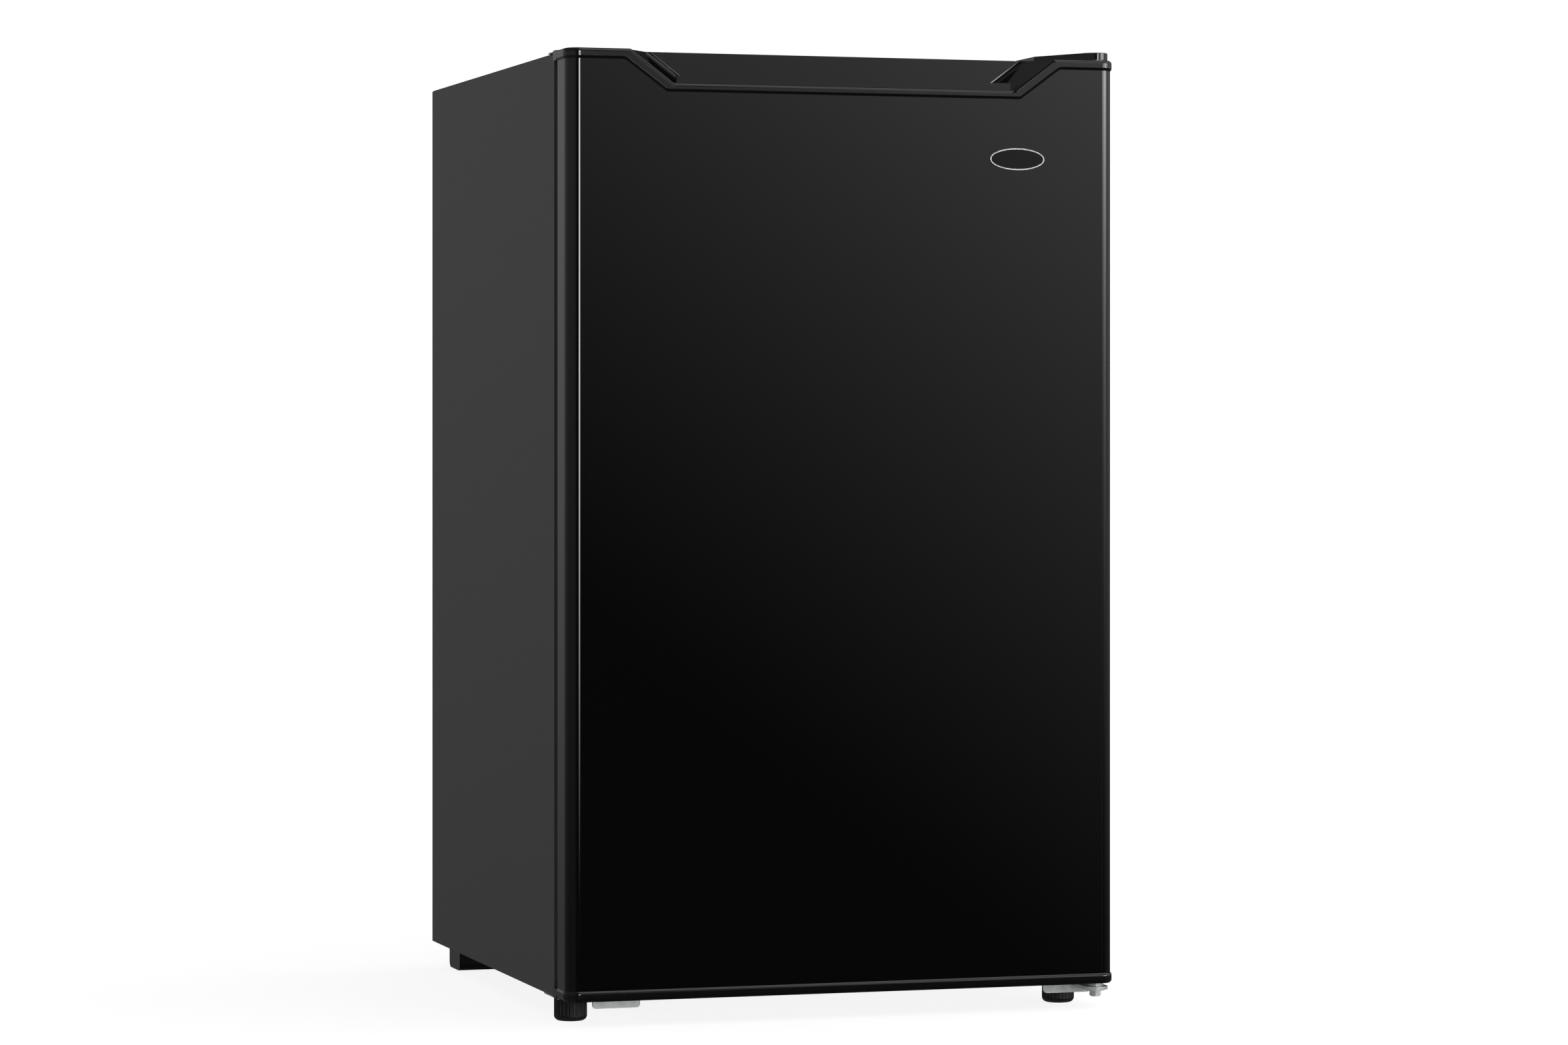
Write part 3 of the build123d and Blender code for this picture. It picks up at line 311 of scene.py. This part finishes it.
def copper_pipe():
    """Drawn copper, browned in patches."""
    material, g, shader, place = principled("copper_pipe", rgb(0.8, 0.42, 0.26), 0.3, metallic=1.0)
    patches = noise(g, place, 55, 5, 0.6)
    stops = [(0.35, rgb(0.42, 0.20, 0.12)), (0.65, rgb(0.86, 0.48, 0.30))]
    g.feed(shader, "Base Color", g.ramp(patches, stops))
    vary(g, shader, "Roughness", patches, 0.5, 0.25)
    return material


def badge_metal():
    """Bright plated rim."""
    material, g, shader, place = principled("badge_metal", rgb(0.42), 0.22, metallic=0.7)
    tint(g, shader, noise(g, place, 500, 3), rgb(0.38, 0.38, 0.39), rgb(0.46))
    vary(g, shader, "Roughness", noise(g, place, 700, 3), 0.16, 0.3)
    return material


def badge_enamel():
    """Dark face of the plate, with a fine brushed grain."""
    material, g, shader, place = principled("badge_enamel", rgb(0.002), 0.12)
    shader.inputs["Specular IOR Level"].default_value = 0.25
    grain = g.node("ShaderNodeMapping", Vector=place, Scale=(120.0, 900.0, 2600.0)).outputs["Vector"]
    tint(g, shader, noise(g, grain, 1.0, 3), rgb(0.0015), rgb(0.003))
    vary(g, shader, "Roughness", noise(g, grain, 1.0, 3), 0.10, 0.15)
    return material


def assign_materials():
    """Gives every CAD node its material by the record's slot."""
    by_slot = {
        "black_door_steel": door_gloss(),
        "black_cabinet_steel": cabinet_paint(),
        "black_plastic": black_plastic(),
        "galvanised_steel": galvanised(),
        "zinc_plate": zinc(),
        "white_liner": liner_plastic(),
        "white_plastic": white_plastic(),
        "clear_plastic": clear_plastic(),
        "foam": foam_core(),
        "white_wire": shelf_coat(),
        "evaporator_aluminium": evaporator_sheet(),
        "black_rubber": foot_plastic(),
        "seal_rubber": seal_rubber(),
        "compressor_black": enamel("compressor_enamel", 0.012, 0.3),
        "condenser_black": enamel("condenser_enamel", 0.012, 0.45),
        "copper": copper_pipe(),
        "badge_silver": badge_metal(),
        "badge_face": badge_enamel(),
    }
    for part in frame["record"]["subparts"]:
        data = NODES[part["node"]].data
        data.materials.clear()
        data.materials.append(by_slot[part["material_slot"]])


# ---------------------------------------------------------------- studio
# The surround is set out in degrees: azimuth, 0 ahead of the door and positive to the right, and elevation.
SHADES = 255.0                # tones from black to white, as a screen shows them
EDGE_AZIMUTH = 17.77          # a point on the big light's soft edge
EDGE_ELEVATION = 3.8
SHADES_PER_AZIMUTH = 3.465    # how fast the edge brightens to the right
SHADES_PER_ELEVATION = 4.44   # and upwards
SOFTBOX_POWER = 24.0
STRIP_POWER = 14.5
WINDOW_POWER = 1.2
WINDOW_GROWTH = 1.6           # for each degree of elevation


def to_linear(g, shown):
    """The light that a screen shows as this tone, by the upper part of the sRGB curve."""
    return g.math("POWER", g.math("DIVIDE", g.math("ADD", shown, 0.055), 1.055), 2.4)


def softbox(g, azimuth, elevation):
    """The big light to the front right, whose edge fades evenly to the eye."""
    across = g.math("MULTIPLY", g.math("SUBTRACT", azimuth, EDGE_AZIMUTH), SHADES_PER_AZIMUTH)
    up = g.math("MULTIPLY", g.math("SUBTRACT", elevation, EDGE_ELEVATION), SHADES_PER_ELEVATION)
    low = g.map_range(g.math("ADD", across, up), -37.0, 18.0, 5.0 / SHADES, 62.0 / SHADES)
    high = g.map_range(azimuth, 15.5, 21.5, 8.0 / SHADES, 72.0 / SHADES)
    height = g.fade(elevation, 4.8, 8.0)
    shown = g.math("ADD", low, g.math("MULTIPLY", height, g.math("SUBTRACT", high, low)))
    return g.product(to_linear(g, shown), g.fade(azimuth, 24.0, 34.0, SOFTBOX_POWER, 0.0))


def strip(g, azimuth, elevation):
    """A narrow upright light nearly straight ahead, for the bright line down the door's left corner."""
    across = g.product(g.fade(azimuth, 0.0, 1.5), g.fade(azimuth, 10.5, 12.0, 1.0, 0.0))
    foot = g.fade(elevation, -5.8, 2.0, 0.0, STRIP_POWER)
    top = g.fade(elevation, 12.0, 22.0, 1.0, 0.0)
    return g.product(across, foot, top)


def window(g, azimuth, elevation):
    """A wide soft light to the right, brighter upwards, for the line down the door's right corner."""
    across = g.product(g.fade(azimuth, 22.0, 44.0), g.fade(azimuth, 50.0, 76.0, 1.0, 0.0))
    growth = g.math("POWER", WINDOW_GROWTH, g.limit(elevation, -7.0, 4.5))
    top = g.fade(elevation, 8.0, 26.0, WINDOW_POWER, 0.0)
    return g.product(across, growth, top)


def right_wall(g, azimuth, elevation):
    """The studio's wall to the right."""
    across = g.product(g.fade(azimuth, 40.0, 80.0), g.fade(azimuth, 95.0, 135.0, 1.0, 0.05))
    return g.product(across, g.map_range(elevation, -6.0, 5.0, 0.12, 0.9))


def left_wall(g, azimuth, elevation):
    """The studio's wall to the left and behind."""
    across = g.fade(azimuth, -8.0, -40.0)
    level = g.map_range(elevation, -6.0, 6.0, 0.08, 0.36)
    top = g.fade(elevation, 7.0, 20.0, 1.0, 0.2)
    return g.product(across, level, top)


def roof(g, azimuth, elevation):
    """A light overhead, mostly to the right."""
    across = g.fade(azimuth, 14.0, 22.0, 0.12, 1.0)
    behind = g.fade(azimuth, 95.0, 135.0, 1.0, 0.15)
    return g.product(across, behind, g.fade(elevation, 25.0, 70.0))


def world_light():
    """Adds up the studio's surround; the camera itself sees plain white behind the machine."""
    world = bpy.data.worlds.new("studio")
    world.use_nodes = True
    SCENE.world = world
    g = Graph(world.node_tree)
    direction = g.node("ShaderNodeTexCoord").outputs["Generated"]
    parts = g.node("ShaderNodeSeparateXYZ", Vector=direction)
    to_front = g.math("MULTIPLY", parts.outputs["Y"], -1.0)
    degrees = 180.0 / math.pi
    azimuth = g.math("MULTIPLY", g.math("ARCTAN2", parts.outputs["X"], to_front), degrees)
    elevation = g.math("MULTIPLY", g.math("ARCSINE", parts.outputs["Z"]), degrees)
    total = softbox(g, azimuth, elevation)
    for light in (strip, window, right_wall, left_wall, roof):
        total = g.math("ADD", total, light(g, azimuth, elevation))
    rays = g.node("ShaderNodeLightPath")
    off_camera = g.math("SUBTRACT", 1.0, rays.outputs["Is Camera Ray"])
    strength = g.math("ADD", rays.outputs["Is Camera Ray"], g.math("MULTIPLY", total, off_camera))
    background = g.node("ShaderNodeBackground", Color=rgb(1.0), Strength=strength)
    g.node("ShaderNodeOutputWorld", Surface=background.outputs["Background"])


def floor_paint():
    """Pale seamless floor that glows, so that its shadows stay faint."""
    material, g, shader, place = principled("floor_paint", rgb(0.22), 0.9)
    tint(g, shader, noise(g, place, 3, 3), rgb(0.215), rgb(0.225))
    shader.inputs["Emission Color"].default_value = rgb(1.0)
    shader.inputs["Emission Strength"].default_value = 0.86
    shader.inputs["Specular IOR Level"].default_value = 0.0
    return material


def sun(name, azimuth, elevation, spread, strength):
    """A soft distant light from a direction in degrees; it lights matt surfaces and isn't mirrored."""
    data = bpy.data.lights.new(name, "SUN")
    data.angle = math.radians(spread)
    data.energy = strength
    light = bpy.data.objects.new(name, data)
    a, e = math.radians(azimuth), math.radians(elevation)
    away = Vector((math.sin(a) * math.cos(e), -math.cos(a) * math.cos(e), math.sin(e)))
    light.rotation_euler = away.to_track_quat("Z", "Y").to_euler()
    light.visible_glossy = False
    SCENE.collection.objects.link(light)


def add_studio():
    """Floor, surround and lights; gloss surfaces mirror the surround, and neither the floor nor the suns."""
    bpy.ops.mesh.primitive_plane_add(size=FLOOR_SIZE)
    floor = bpy.context.object
    floor.name = "floor"
    floor.data.materials.append(floor_paint())
    floor.visible_glossy = False
    world_light()
    sun("front_left", azimuth=-35.0, elevation=35.0, spread=60.0, strength=0.9)
    sun("back_right", azimuth=140.0, elevation=50.0, spread=60.0, strength=0.5)


add_camera()
assign_materials()
add_studio()
SCENE.view_settings.view_transform = "Standard"
